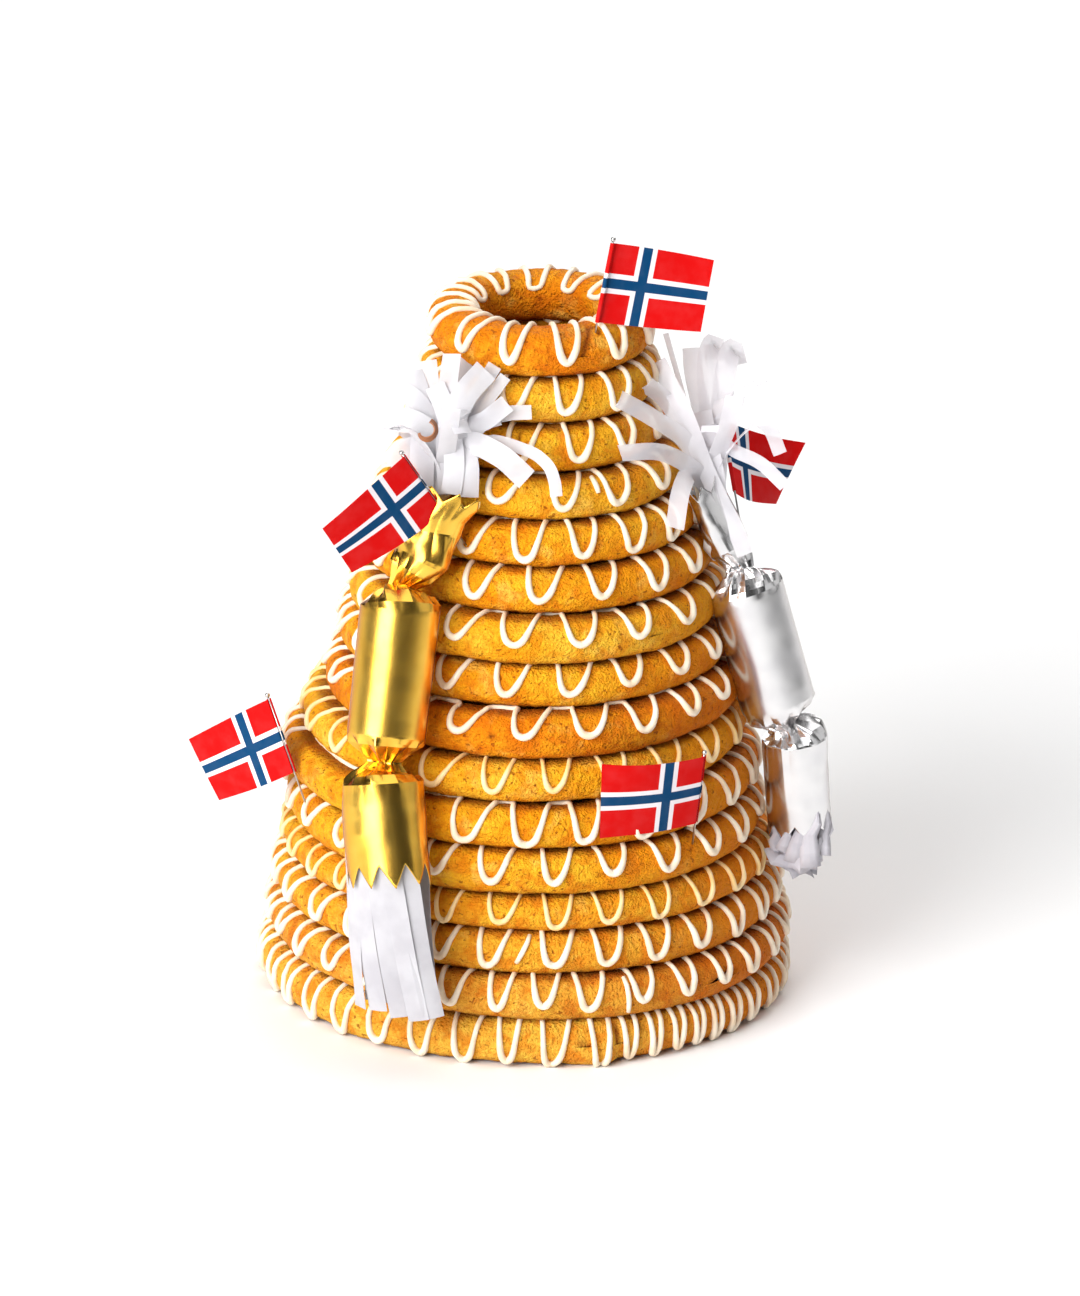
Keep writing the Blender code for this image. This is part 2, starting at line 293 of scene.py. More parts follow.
def mix_node(tree, share, first, second):
    """Two colours mixed by a share. A colour is a tuple or a node's output."""
    made = node(tree, "ShaderNodeMix", {0: share, 6: first, 7: second}, data_type="RGBA")
    return made.outputs[2]


def bump_node(tree, height, strength, depth):
    return node(tree, "ShaderNodeBump", {"Height": height, "Strength": strength,
                                         "Distance": depth * MM}).outputs["Normal"]


def math_node(tree, operation, *values):
    return node(tree, "ShaderNodeMath", dict(enumerate(values)), operation=operation).outputs[0]


def stain(tree, mask, share, colour, tone):
    """A colour with a share of a tone mixed in where the mask is 1."""
    return mix_node(tree, mask, colour, mix_node(tree, share, colour, tone))


def clouded_material(name, light, dark, clouds, relief, sockets):
    """A material with clouds of two tones and a fine relief. Clouds are given by the noise's
    size in mm, its detail and its step, and relief by size, detail, strength and depth."""
    material, tree, shader = new_material(name)
    mask = noise_node(tree, *clouds[:2])
    if clouds[2:]:
        mask = step_node(tree, mask, *clouds[2:])
    sockets = {"Base Color": mix_node(tree, mask, light, dark), **sockets}
    if relief:
        sockets["Normal"] = bump_node(tree, noise_node(tree, *relief[:2]), *relief[2:])
    set_sockets(tree, shader, sockets)
    return material


# %% Crust materials
# Each stain: size of its lumps (mm), detail, where it starts and ends in the noise, strength.
STAINS = {
    "patches": (24.0, 3.0, 0.38, 0.66, 1.0),
    "floury": (10.0, 5.0, 0.54, 0.68, 0.45),
    "mottle": (7.0, 5.0, 0.46, 0.64, 0.62),
    # The lumps stain darkens the hollows of the crust's bump, which uses the same noise: painted
    # shade.
    "lumps": (2.4, 3.0, 0.53, 0.38, 0.32),
    "grain": (1.5, 3.0, 0.48, 0.64, 0.16),
    "specks": (2.1, 1.5, 0.645, 0.71, 0.72),
}
# The second tone darkens the creases: partly browning, partly painted shade.
FLOUR, TOAST_AND_SHADE, SKIN = (0.97, 0.60, 0.11), (0.26, 0.052, 0.004), (0.30, 0.060, 0.004)
PALER_BELOW, PALER = (85 * MM, 0.0), (0.93, 0.58, 0.09)     # the lowest rings are paler, and painted shade makes the right side darker and redder
SHADED_SIDE = (25 * MM, 95 * MM)                           # one side of the cake is browner


def noise_stain(tree, kind, colour, tone):
    size, detail, start, end, strength = STAINS[kind]
    mask = step_node(tree, noise_node(tree, size, detail), start, end)
    return stain(tree, mask, strength, colour, tone)


def crust_material(name, pale, gold, brown):
    """Crust of three tones in linear light, with its stains laid on one after another."""
    material, tree, shader = new_material(name)
    place = node(tree, "ShaderNodeTexCoord").outputs["Object"]
    place = node(tree, "ShaderNodeSeparateXYZ", {"Vector": place})
    colour = noise_stain(tree, "patches", gold, pale)
    colour = noise_stain(tree, "floury", colour, FLOUR)
    paler = step_node(tree, place.outputs["Z"], *PALER_BELOW)
    colour = stain(tree, paler, 0.55, colour, PALER)
    # Painted shade: the right side, away from the key light, darker and redder.
    side_shade = step_node(tree, place.outputs["X"], *SHADED_SIDE)
    colour = stain(tree, side_shade, 0.80, colour, brown)
    # Mottle and grain are the crust's own stains; the lumps stain is painted shade in the bump's
    # hollows.
    for kind in ("mottle", "lumps", "grain"):
        colour = noise_stain(tree, kind, colour, brown)
    colour = noise_stain(tree, "specks", colour, SKIN)
    # Creases darkened by browning and painted shade, painted shade inside the rings, darker
    # cracks.
    shade_and_browning = node(tree, "ShaderNodeAttribute", attribute_name="shade_and_browning").outputs["Fac"]
    colour = mix_node(tree, step_node(tree, shade_and_browning, 0.0, 1.0), colour, TOAST_AND_SHADE)
    # The bump: its hollows are where the lumps stain paints shade.
    relief = math_node(tree, "ADD", noise_node(tree, 0.9, 4.0),
                       noise_node(tree, *STAINS["lumps"][:2]))
    set_sockets(tree, shader, {"Base Color": colour, "Roughness": 0.60,
                               "Specular IOR Level": 0.08,
                               "Normal": bump_node(tree, relief, 1.0, 2.0)})
    return material


CRUSTS = {
    "golden_crust": crust_material("golden_crust", (0.96, 0.49, 0.020), (0.92, 0.345, 0.006),
                                   (0.74, 0.175, 0.003)),
    "brown_crust": crust_material("brown_crust", (0.91, 0.37, 0.012), (0.84, 0.245, 0.004),
                                  (0.64, 0.130, 0.002)),
    "pale_crust": crust_material("pale_crust", (0.97, 0.55, 0.040), (0.93, 0.415, 0.011),
                                 (0.78, 0.225, 0.003)),
}
print("crusts:", *CRUSTS)

# %% [markdown]
# ## The rings
# A baker rolls the dough out and closes it round, and here a flat grid is rolled the same
# way: one direction goes over the dough, the other around the tower, and the seams are
# merged. Every point lands on that ring's own surface, dents and cracks included. Cracks
# open where the dough was joined or handled, and are darker inside.

# %% Cracks
# Cracks: ring, then angle from the front (degrees) and height up the ring at both ends,
# width and depth (mm).
CRACKS = (
    (16, 30, 0.98, 23, 0.55, 1.5, 1), (16, 23, 0.55, 19, 0.35, 1, 0.6),
    (14, -6, 0.95, -7.5, 0.15, 1, 0.7), (10, 38, 0.50, 46, 0.38, 0.8, 0.6),
    (2, 52, 0.62, 33, 0.10, 1.9, 1.5), (8, -12, 0.62, -11, 0.58, 1.2, 0.6),
    (5, 18, 0.55, 24, 0.62, 0.8, 0.5), (12, 140, 0.9, 146, 0.1, 1.4, 0.9),
    (7, 215, 0.9, 208, 0.1, 1.2, 0.8), (3, 160, 0.9, 166, 0.15, 1.4, 1),
    (1, 12.8, 0.55, 16, 0.38, 1.9, 0.5), (1, 20.5, 0.90, 21.6, 0.12, 1.1, 1.1),
    (1, 25, 0.95, 26.5, 0.72, 1.3, 0.6), (16, 34, 0.99, 34.8, 0.90, 0.9, 0.8),
    (5, 44.5, 0.78, 44.8, 0.72, 0.8, 0.8), (5, -66.4, 0.60, -66, 0.54, 0.8, 0.8),
)

CRACK_WOBBLE, CRACK_BENDS = 0.28 * MM, 9


def angle_over(share):
    """The angle over the dough at a share of the ring's height, on the outer side."""
    return np.arcsin(signed_power(2 * share - 1, SQUARENESS / 2))


def crack_depths(number, around, over):
    """How open the cracks of a ring are at each place, 0 to 1, and how deep, in metres."""
    ring = rings[number]
    opened, depth = np.zeros(len(around)), np.zeros(len(around))
    scale = np.array((ring["radius"] + ring["half"], 1.15 * ring["half"]))
    for crack in (c for c in CRACKS if c[0] == number):
        first = np.array((math.radians(crack[1]), angle_over(crack[2]))) * scale
        along = np.array((math.radians(crack[3]), angle_over(crack[4]))) * scale - first
        turned = (around - math.radians(crack[1]) + math.pi) % math.tau - math.pi
        spot = np.stack((turned * scale[0], over * scale[1] - first[1]), axis=1)
        share = np.clip(spot @ along / (along @ along), 0, 1)
        gap = np.hypot(*(spot - share[:, None] * along).T)
        gap += CRACK_WOBBLE * np.sin(share * CRACK_BENDS + crack[1])
        shape = np.exp(-(gap / (crack[5] * MM)) ** 2)
        opened, depth = np.maximum(opened, shape), np.maximum(depth, shape * crack[6] * MM)
    return opened, depth


print("cracks:", len(CRACKS))

# %% Sheets and pieces
def flat_sheet(columns, rows):
    """A grid with a UV map, and each of its points' share of the way across and along."""
    bm = bmesh.new()
    bm.loops.layers.uv.new("UVMap")
    bmesh.ops.create_grid(bm, x_segments=columns, y_segments=rows, size=1.0, calc_uvs=True)
    shares = (np.array([vertex.co for vertex in bm.verts])[:, :2] + 1) / 2
    return bm, shares[:, 0], shares[:, 1]


def move_points(bm, places):
    for vertex, place in zip(bm.verts, places):
        vertex.co = place


def add_mesh(bm, other):
    """Adds another bmesh to bm, and frees the other one."""
    mesh = bpy.data.meshes.new("part")
    other.to_mesh(mesh)
    other.free()
    bm.from_mesh(mesh)
    bpy.data.meshes.remove(mesh)


def close_seams(bm):
    """Join the edges of a rolled up sheet where they meet, and turn its faces outwards."""
    bmesh.ops.remove_doubles(bm, verts=bm.verts[:], dist=1e-6)
    bmesh.ops.recalc_face_normals(bm, faces=bm.faces[:])


def finish_mesh(bm, name, material, replaced=()):
    """Turn a finished bmesh into a smooth shaded piece that rides on the root body."""
    for edge in bm.edges:
        if edge.is_boundary:
            edge.smooth = False
    for face in bm.faces:
        face.smooth = True
    mesh = bpy.data.meshes.new(name)
    bm.to_mesh(mesh)
    bm.free()
    mesh.materials.append(material)
    piece = add_object(name, mesh)
    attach(piece, "root")
    if replaced:
        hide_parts(*replaced)
    return piece


def thicken(piece, thickness, offset=0.0):
    sheet = piece.modifiers.new("sheet", "SOLIDIFY")
    sheet.thickness, sheet.offset = thickness, offset
    return sheet


# %% Roll and bake the rings
CRUST_GRAIN = 1.35 * MM         # spacing of the points on the crust
CRUST_SIDES = 44
# Where on the way up or down the dough the darkening towards the creases starts, and how
# dark it gets, partly browning and partly painted shade; then the painted shade on the
# inner side of the rings, and how much darker the cracks are inside.
UPPER_CREASE, LOWER_CREASE, INSIDE_SHADE, CRACK_DARKENING = (0.82, 0.70), (0.50, 1.0), 0.60, 0.8


def darkening_ramp(way, start, strength):
    return np.clip((way - start) / (1 - start), 0, 1) * strength


def bake_ring(number, slot):
    ring = rings[number]
    steps = round(math.tau * (ring["radius"] + ring["half"]) / CRUST_GRAIN)
    bm, around, over = flat_sheet(steps, CRUST_SIDES)
    around, over = around * math.tau, over * math.tau
    opened, depth = crack_depths(number, around, over)
    places = crust_places(ring, around, over, -depth)
    shade_and_browning = bm.verts.layers.float.new("shade_and_browning")
    rise, inward = np.sin(over), -np.cos(over)
    # Darker towards the creases above and below: partly browning, partly painted shade.
    upper, lower = darkening_ramp(rise, *UPPER_CREASE), darkening_ramp(-rise, *LOWER_CREASE)
    # Painted shade on the inner side of the ring, where less light falls.
    inner = np.clip(inward * 2, 0, 1) * INSIDE_SHADE
    if number == max(RINGS):
        upper, inner = 0, inner * np.clip(-rise - 0.5, 0, 1)
    # How dark each point gets: browning and painted shade, and darker cracks.
    brown = np.maximum(np.maximum(upper, lower ** 1.4),
                       np.maximum(inner, CRACK_DARKENING * opened))
    move_points(bm, places)
    for vertex, dark in zip(bm.verts, brown):
        vertex[shade_and_browning] = dark
    close_seams(bm)
    return finish_mesh(bm, f"baked_ring_{number:02d}", CRUSTS[slot], [f"ring_{number:02d}"])


ring_slots = {entry["node"]: entry["material_slot"] for entry in frame["record"]["subparts"]}
faces = 0
for number in RINGS:
    piece = bake_ring(number, ring_slots[f"ring_{number:02d}"])
    faces += len(piece.data.polygons)
print("the rings have", faces, "faces")

# %% [markdown]
# ## Icing loops
# Icing of egg white and icing sugar is piped from a small bag in one long wave per
# ring, before the next ring goes on. The wave's upper turns end up under the next ring,
# and the lower turns hang on the side, where the icing runs together and gets thicker.
# A curve with a round bevel gives the bead, and each of its points has its own thickness.

# %% Loops of each ring
# For each ring: number of loops, how high up the ring they turn (share of its height), how
# thick the icing is, and where loops hang at the front (degrees, to the right of its middle).
ICING = {
    1: (36, 0.14, 1, (-22.5, -12.5, -3, 6.5, 17.5, 24, 30, 36, 41.5, 47, 53, 60)),
    2: (33, 0.42, 1, (-48, -38, -27.5, -16.5, -6, 4, 14, 26.5, 38, 49)),
    3: (29, 0.33, 1, (-54, -42, -30.5, -19, -8, 7, 19, 31, 43.5, 56, 68)),
    4: (28, 0.30, 0.8, (-59.5, -48, -38.5, -29, -19, -5.5, 7.5, 20, 33, 46, 59)),
    5: (25, 0.48, 1, (-21.5, -7.5, 7.5, 22, 37, 52, 65)),
    6: (24, 0.30, 1, (-13, 2, 16, 31, 46.5, 62.5)),
    7: (22, 0.42, 0.85, (-24, -7.5, 8, 24, 40.5, 57, 72)),
    8: (21, 0.56, 1, (-21, -2.5, 15.5, 32, 49, 64)),
    9: (20, 0.46, 1, (-26, -8, 10.5, 28.5, 46.5, 64)),
    10: (18, 0.56, 0.95, (-25, -6, 14.5, 34, 54)),
    11: (17, 0.46, 1, (-20.5, 1, 21.5, 43, 61.5)),
    12: (18, 0.33, 1, (-24.5, -3.5, 17, 36.5, 56)),
    13: (15, 0.45, 1, (-14.5, 11, 33.5, 58)),
    14: (14, 0.43, 1, (-6, 20.5, 45.5)),
    15: (13, 0.34, 1, (-12, 14, 42)),
    16: (12, 0.42, 1.1, (-42, -15, 14.5, 44)),
}
BEAD = 1.1 * MM                 # radius of a piped bead
BEAD_LIFT = 0.42                # its middle's height above the crust, in its own radius
CREST = (105, 116)              # where the upper turns lie, under the next ring (degrees)
LOW_CREST = (95, 99)            # and where they are squeezed out and show, on these rings:
LOW_CRESTS = (6, 8)
TOP_CREST = (142, 150)          # on the top ring they reach over to the inside
# One loop: shares of the way to the next loop, on either side, and share of the way up.
LOOP = ((-0.20, 1.00), (-0.20, 0.80), (-0.195, 0.55), (-0.175, 0.28), (-0.125, 0.08),
        (-0.03, 0.0), (0.065, 0.03), (0.145, 0.15), (0.22, 0.36), (0.29, 0.60), (0.365, 0.83),
        (0.46, 1.00))
LOOP_STEPS = 3
REACHES, LEANS, WIDTHS, BEADS = (-6, 8), (-0.05, 0.05), (0.9, 1.12), (0.92, 1.08)   # by chance
HANGING, LOSS, LOSS_SPEED = 1.30, 0.40, 2.2     # a bead hangs thick and gets thinner upwards
PLAIN_PART = {6: (-85, -21)}    # where a ring's wave stays hidden (degrees)
THIN_ICING = (4, 7)             # rings whose icing was runny, so the crust shows through
# Extra dabs: ring, degrees and share of the height at both ends.
DABS = ((3, 1.3, 0.95, -1.6, 0.40), (2, 22.6, 0.95, 23, 0.25), (13, 24, 0.97, 24.8, 0.70))
PIPING_SEED = 7
print("rings with thin icing:", *THIN_ICING)

# %% Waves of icing
def spline(knots, steps):
    """Points of a Catmull-Rom curve from its second knot to just before its last but one."""
    return [0.5 * (2 * b + (c - a) * t + (2 * a - 5 * b + 4 * c - d) * t * t
                   + (3 * b - a - 3 * c + d) * t ** 3)
            for a, b, c, d in zip(knots, knots[1:], knots[2:], knots[3:])
            for t in np.arange(steps) / steps]


def loop_places(number):
    """Degrees at which a ring's loops hang: those at the front, then evenly round the back."""
    loops, _, _, front = ICING[number]
    draw = random.Random(PIPING_SEED * number)
    left = 360 - (front[-1] - front[0])
    count = round(left * loops / 360)
    return [*front, *(front[-1] + left * (k + draw.uniform(-0.08, 0.08)) / count
                      for k in range(1, count))]


def piped_wave(number):
    """The wave on a ring: angle around, angle over and thickness of each point."""
    _, turn, thick, _ = ICING[number]
    draw = random.Random(PIPING_SEED + number)
    crests = (TOP_CREST if number == max(RINGS) else
              LOW_CREST if number in LOW_CRESTS else CREST)
    spots = loop_places(number)
    knots = []
    for before, spot, after in zip([spots[-1] - 360, *spots], spots,
                                   [*spots[1:], spots[0] + 360]):
        reach = angle_over(turn) + math.radians(draw.uniform(*REACHES))
        crest = math.radians(draw.uniform(*crests))
        if number in PLAIN_PART and PLAIN_PART[number][0] < (spot + 180) % 360 - 180 < (
                PLAIN_PART[number][1]):
            reach = crest
        lean, width = draw.uniform(*LEANS), draw.uniform(*WIDTHS)
        for along, up in LOOP:
            shift = along * width * (spot - before if along < 0 else after - spot)
            shift += lean * up * (after - spot)
            bead = BEAD * thick * (HANGING - LOSS * min(up * LOSS_SPEED, 1))
            bead *= draw.uniform(*BEADS)
            knots.append(np.array((math.radians(spot + shift),
                                   reach + (crest - reach) * up, bead)))
    whole_turn = np.array((math.tau, 0, 0))
    return np.array(spline([knots[-1] - whole_turn, *knots, knots[0] + whole_turn,
                            knots[1] + whole_turn], LOOP_STEPS))


# %% Pipe the icing
def bead_mesh(places, beads, closed=True):
    """A bmesh of a round bead along places, as thick at each as beads says."""
    curve = bpy.data.curves.new("piping", "CURVE")
    curve.dimensions = "3D"
    curve.bevel_depth, curve.bevel_resolution = 1.0, 2
    curve.use_fill_caps = True
    line = curve.splines.new("POLY")
    line.points.add(len(places) - 1)
    for point, place, bead in zip(line.points, places, beads):
        point.co, point.radius = (*place, 1), bead
    line.use_cyclic_u = closed
    shape = bpy.data.objects.new("piping", curve)
    bm = bmesh.new()
    bm.from_mesh(bpy.data.meshes.new_from_object(shape))
    bpy.data.objects.remove(shape)
    close_seams(bm)
    return bm


def icing_material(name, light, dark):
    return clouded_material(name, light, dark, (7.0, 2.0, 0.35, 0.70), (1.2, 3.0, 0.25, 0.3),
                            {"Roughness": 0.42})


def pipe_ring(number, material):
    around, over, beads = piped_wave(number).T
    places = crust_places(rings[number], around, over, beads * BEAD_LIFT)
    places[:, 2] = np.maximum(places[:, 2], beads)
    return finish_mesh(bead_mesh(places, beads), f"icing_{number:02d}", material)


def pipe_dabs(material):
    bm = bmesh.new()
    for number, first, high, last, low in DABS:
        share = np.linspace(0, 1, 6)
        around = np.radians(first + (last - first) * share)
        over = angle_over(high + (low - high) * share)
        beads = BEAD * (0.55 + 0.4 * np.sin(math.pi * (0.15 + 0.7 * share)))
        places = crust_places(rings[number], around, over, beads * BEAD_LIFT)
        add_mesh(bm, bead_mesh(places, beads, closed=False))
    return finish_mesh(bm, "icing_dabs", material)


icing = icing_material("icing", (0.92, 0.81, 0.65), (0.86, 0.68, 0.47))
thin_icing = icing_material("thin_icing", (0.92, 0.69, 0.37), (0.90, 0.59, 0.22))
for number in RINGS:
    pipe_ring(number, thin_icing if number in THIN_ICING else icing)
pipe_dabs(icing)
print("loops of icing:", sum(len(loop_places(number)) for number in RINGS))

# %% [markdown]
# ## Where the dressing goes
# The flags and crackers are placed from the frame too. The mean of the rings' centres is the
# tower's own axis, and each pin's two ends are read from its CAD node.

# %% Places of the dressing
AXIS = Vector((*np.mean([ring["centre"] for ring in rings.values()], axis=0), 0))
VIEW_UP = Vector((0, math.sin(DOWN), math.cos(DOWN)))
VIEW_OUT = Vector((0, -math.cos(DOWN), math.sin(DOWN)))


def pin_ends(name):
    """The point and the head of a pin, from its CAD node."""
    points = node_points("flag_pin_" + name)
    tip = points[points[:, 2].argmin()]
    far = np.linalg.norm(points - tip, axis=1)
    return Vector(tip), Vector(points[far > far.max() - 0.1 * MM].mean(axis=0))


print("tower axis in mm:", [round(v / MM, 2) for v in AXIS])

# %% [markdown]
# ## Paper flags
# A cake flag is a slip of printed paper, folded round a pin and glued to itself. So a sheet
# is rolled round the pin first and then runs out along the fly. The sheet is a grid, moved
# on to the flag's plane, with one corner lifted and a soft wave, and Solidify gives it its
# thickness. The cross is drawn by the material from the sheet's own UV map in the
# flag's real proportions: 6, 1, 2, 1, 12 parts along and 6, 1, 2, 1, 6 parts up.

# %% Flag paper
HOIST = 30.0 * MM
SLEEVE, SLEEVE_SHARE = 0.75 * MM, 0.12   # radius round the pin, share of the sheet used
PAPER = 0.25 * MM
PARTS_ALONG, PARTS_UP = 22.0, 16.0
# For each flag: its fly and the lift of its upper fly corner (mm), then the bow of the sheet
# and its ripples (mm).
FLAG_SHAPES = {
    "top": ((38.2, 11, -7.8), (-0.4, 0, -1.4), 1, 0.25),
    "right": ((24.5, 27.5, -16.9), (7.8, -7.3, 0.2), 3, 0.5),
    "left": ((-30.8, -14.2, -22.1), (1.9, -0.7, -1.9), 1.5, 0.3),
    "low_left": ((-29.4, 17.7, -21.5), (-0.9, -0.8, -2.1), 1.2, 0.35),
    "low_right": ((-36.8, -16.8, 0.7), (-1.2, 0.4, 1.2), 2.2, 0.25),
}
HEAD_GAP = 2.4 * MM             # from the pin's top to the sheet
SLEEVE_TURN = math.radians(300)
CROSS_MIDDLE = 8.0              # both ways, in the parts of the pattern
BAND_BLUR = 0.04
FLAG_GRID, FLAG_WAVES = (60, 28), (7, 2.5)      # faces, and waves along and up the sheet
RED, BLUE, WHITE = (0.62, 0.004, 0.004), (0.003, 0.050, 0.140), (0.82, 0.77, 0.80)


def band_node(tree, value, middle, half):
    """1 where a value is within half of middle, else 0."""
    away = math_node(tree, "ABSOLUTE", math_node(tree, "SUBTRACT", value, middle))
    return step_node(tree, away, half + BAND_BLUR, half - BAND_BLUR)


def flag_material():
    material, tree, shader = new_material("flag_paper")
    uv = node(tree, "ShaderNodeUVMap").outputs["UV"]
    axes = node(tree, "ShaderNodeSeparateXYZ", {"Vector": uv}).outputs
    along = node(tree, "ShaderNodeMapRange", {"Value": axes["X"], "From Min": SLEEVE_SHARE,
                                              "To Max": PARTS_ALONG}).outputs["Result"]
    up = math_node(tree, "MULTIPLY", axes["Y"], PARTS_UP)
    colour = RED
    for half, ink in ((2.0, WHITE), (1.0, BLUE)):
        for share in (along, up):
            colour = mix_node(tree, band_node(tree, share, CROSS_MIDDLE, half), colour, ink)
    faded = step_node(tree, noise_node(tree, 6.0, 4.0), 0.35, 0.75)
    set_sockets(tree, shader, {"Base Color": stain(tree, faded, 0.015, colour, WHITE),
                               "Roughness": 0.6, "Specular IOR Level": 0.06,
                               "Normal": bump_node(tree, noise_node(tree, 0.6, 3.0), 0.12, 0.2)})
    return material


def flag_sheet(name, material):
    point, head = pin_ends(name)
    upward = (head - point).normalized()
    low = head - upward * (HEAD_GAP + HOIST)
    fly, corner, bow, ripple = FLAG_SHAPES[name]
    fly, corner = Vector(fly) * MM, Vector(corner) * MM
    side = upward.cross(fly).normalized()
    ahead = side.cross(upward)
    bm, across, rise = flat_sheet(*FLAG_GRID)
    places = []
    for u, v in zip(across, rise):
        base = low + upward * HOIST * v
        if u < SLEEVE_SHARE:
            turn = SLEEVE_TURN * (1 - u / SLEEVE_SHARE)
            offset = side * SLEEVE * math.cos(turn) + ahead * SLEEVE * math.sin(turn)
        else:
            run = (u - SLEEVE_SHARE) / (1 - SLEEVE_SHARE)
            wave = math.sin(run * FLAG_WAVES[0] + v * FLAG_WAVES[1]) * run * ripple * MM
            offset = fly * run + corner * (2 * v - 1) * run * run
            offset += side * (SLEEVE * (1 - run) + bow * MM * math.sin(math.pi * run) + wave)
        places.append(base + offset)
    move_points(bm, places)
    piece = finish_mesh(bm, "paper_flag_" + name, material, ["flag_" + name])
    thicken(piece, PAPER)


flag_paper = flag_material()
for name in FLAG_SHAPES:
    flag_sheet(name, flag_paper)
print("paper flags:", len(FLAG_SHAPES))

# %% [markdown]
# ## Pins
# The flags stand on short steel pins with a round head. A short cone makes the point, a
# long one that doesn't taper the shank, and a small ball the head.

# %% Pins
PIN_TIP, PIN_WIDE, HEAD_WIDE = 0.05 * MM, 0.38 * MM, 0.95 * MM     # radii
PIN_POINT = 2.5 * MM            # length of the sharpened part


def pin(name, material):
    point, head = pin_ends(name)
    upward = (head - point).normalized()
    stand = Matrix.Translation(point) @ upward.to_track_quat("Z", "Y").to_matrix().to_4x4()
    length = (head - point).length
    bm = bmesh.new()
    for radius, start, end in ((PIN_TIP, 0, PIN_POINT),
                               (PIN_WIDE, PIN_POINT, length - HEAD_WIDE)):
        bmesh.ops.create_cone(bm, cap_ends=True, segments=16, radius1=radius,
                              radius2=PIN_WIDE, depth=end - start,
                              matrix=stand @ Matrix.Translation((0, 0, (start + end) / 2)))
    ball = Matrix.Translation(head - upward * HEAD_WIDE)
    bmesh.ops.create_uvsphere(bm, u_segments=20, v_segments=12, radius=HEAD_WIDE, matrix=ball)
    finish_mesh(bm, "steel_pin_" + name, material, ["flag_pin_" + name])


steel = clouded_material("pin_steel", (0.46, 0.45, 0.44), (0.66, 0.65, 0.63), (1.5, 3.0), (),
                         {"Metallic": 1.0, "Roughness": 0.28})
for name in FLAG_SHAPES:
    pin(name, steel)
print("pins:", len(FLAG_SHAPES))

# %% [markdown]
# ## Foil crackers
# A party cracker is a card tube wrapped in foil paper. The foil is choked with string
# beside the tube, which gathers it in pleats, and beyond the choke it opens again in a
# flared mouth with a saw-toothed edge. A grid is rolled round a path: each station on the
# path gives the foil's width and depth, and how deep the pleats and crumples are there. The
# pleats are straight between their folds, so they shine as flat panels.

# %% Shape of the foil
# Stations down each wrapper, in mm from the tower's axis: centre x, y, z, half the width
# across and half the depth outwards, then the depth of the broad folds, of the fine
# pleats (shares of the width) and of the crumpling (mm).
FOILS = {
    "gold": (
        (-38.5, -52, 207, 19.5, 8, 0.16, 0, 0.2),
        (-40, -54.4, 201.5, 17, 8.5, 0.20, 0, 0.3),
        (-40.6, -56.8, 194.3, 15, 9, 0.24, 0, 0.4),
        (-42, -59, 187, 12.6, 9, 0.22, 0, 0.7),
        (-45.8, -61.5, 182, 8, 7, 0.14, 0.12, 1.2),
        (-48, -62.5, 178.3, 4.8, 4.8, 0.10, 0.22, 0.9),
        (-48.8, -63.2, 175.5, 4.6, 4.6, 0.10, 0.24, 0.8),
        (-49, -65, 174, 8.5, 8.5, 0.08, 0.20, 1.2),
        (-48.9, -66.4, 172.8, 12.4, 12.4, 0.05, 0.13, 1.2),
        (-48.8, -67.4, 171, 14.9, 14.9, 0, 0.03, 0.3),
        (-48.9, -67.7, 170.2, 15, 15, 0, 0, 0.05),
        (-52.9, -79.5, 125, 14.7, 14.7, 0, 0, 0.06),
        (-53, -80.2, 123, 14.5, 14.5, 0, 0.02, 0.2),
        (-53.2, -81, 121.5, 13.2, 13.2, 0.02, 0.10, 0.8),
        (-53.3, -81.6, 118.5, 8, 8, 0.04, 0.22, 1.2),
        (-53.5, -82.2, 115, 4.8, 4.8, 0.04, 0.26, 0.6),
        (-53.9, -83.5, 111.5, 7.5, 7.5, 0.04, 0.24, 1.2),
        (-54.1, -84.5, 109.6, 12.4, 12.4, 0.03, 0.12, 1),
        (-53.6, -85.3, 107.8, 14.9, 14.7, 0.02, 0.02, 0.3),
        (-52.9, -89, 97, 15.8, 14.6, 0.03, 0, 0.12),
        (-51.1, -95.6, 79.5, 16.1, 14.2, 0.03, 0, 0.12),
    ),
    "silver": (
        (63.5, -13, 200, 12.5, 6, 0.12, 0, 0.2),
        (68, -14, 189, 11.5, 7, 0.10, 0, 0.2),
        (73, -15, 179, 10, 8, 0.10, 0.02, 0.3),
        (76.6, -16, 172.5, 5.5, 5.5, 0.10, 0.16, 0.8),
        (77.4, -17.5, 169.6, 4.8, 4.8, 0.10, 0.22, 0.8),
        (78.2, -19, 167.8, 8.5, 8.5, 0.10, 0.18, 1.3),
        (78.9, -20.2, 166.4, 12.2, 12.2, 0.06, 0.12, 1.3),
        (79.5, -20.5, 164.5, 14.1, 14.1, 0, 0.02, 0.2),
        (79.8, -20.5, 163.6, 14.2, 14.2, 0, 0, 0.05),
        (92.7, -20.5, 120, 14.2, 14.2, 0, 0, 0.05),
        (93.3, -20.5, 118.4, 13.9, 13.9, 0, 0.02, 0.2),
        (93.9, -20.5, 116.6, 12.6, 12.6, 0.02, 0.12, 0.9),
        (95.2, -20, 113.6, 7.5, 7.5, 0.04, 0.24, 1.2),
        (96.7, -19.5, 110.5, 4.6, 4.6, 0.04, 0.26, 0.6),
        (98, -19.3, 108.8, 7, 7, 0.08, 0.20, 1.2),
        (98.8, -19, 107, 10.6, 10.6, 0.05, 0.12, 1.1),
        (99.6, -19, 104.8, 12.4, 12.4, 0.02, 0.02, 0.3),
        (102.6, -18.5, 73, 12, 12, 0.03, 0, 0.12),
    ),
}
